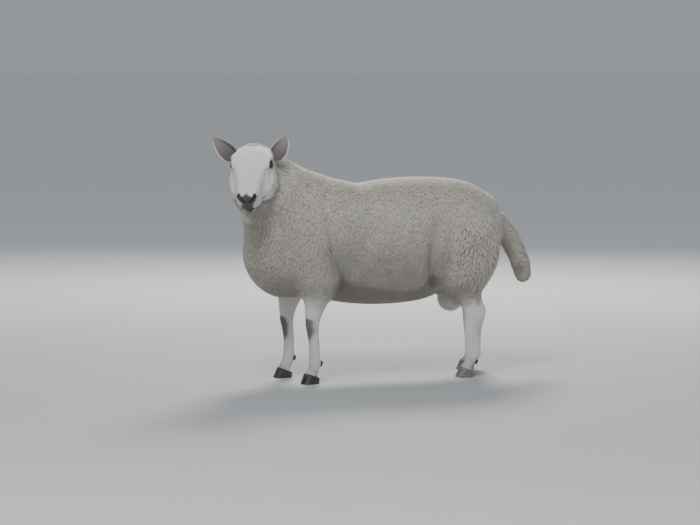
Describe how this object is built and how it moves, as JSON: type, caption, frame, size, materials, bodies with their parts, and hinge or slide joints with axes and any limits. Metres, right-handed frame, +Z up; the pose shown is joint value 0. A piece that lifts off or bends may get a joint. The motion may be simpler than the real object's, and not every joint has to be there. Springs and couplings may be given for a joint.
{
  "type": "sheep",
  "caption": "Standing white-faced hill ram with short fleece, upright ears, woolly tail and head turned to its left; a still life-size display model.",
  "frame": {"origin": "middle of the bounding box in plan, on the floor under the soles", "axes": "+Z up; the animal faces -X along its length; its left side is -Y"},
  "size_m": [1.3126, 0.4678, 0.9437],
  "materials": {
    "fleece": "matt short wool",
    "hair": "short white hair over skin",
    "horn": "dark satin horn",
    "eye": "wet gloss"
  },
  "bodies": {
    "root": {"trunk": "fleece", "neck": "fleece", "eye_left": "eye", "eye_right": "eye", "head": "hair", "ear_left": "hair", "ear_right": "hair", "tail": "fleece", "scrotum": "fleece", "foreleg_left_upper": "hair", "foreleg_left_lower": "hair", "foreleg_left_claw_outer": "horn", "foreleg_left_dewclaw_outer": "horn", "foreleg_left_claw_inner": "horn", "foreleg_left_dewclaw_inner": "horn", "foreleg_right_upper": "hair", "foreleg_right_lower": "hair", "foreleg_right_claw_outer": "horn", "foreleg_right_dewclaw_outer": "horn", "foreleg_right_claw_inner": "horn", "foreleg_right_dewclaw_inner": "horn", "hindleg_left_upper": "fleece", "hindleg_left_lower": "hair", "hindleg_left_claw_outer": "horn", "hindleg_left_dewclaw_outer": "horn", "hindleg_left_claw_inner": "horn", "hindleg_left_dewclaw_inner": "horn", "hindleg_right_upper": "fleece", "hindleg_right_lower": "hair", "hindleg_right_claw_outer": "horn", "hindleg_right_dewclaw_outer": "horn", "hindleg_right_claw_inner": "horn", "hindleg_right_dewclaw_inner": "horn"}
  },
  "joints": []
}
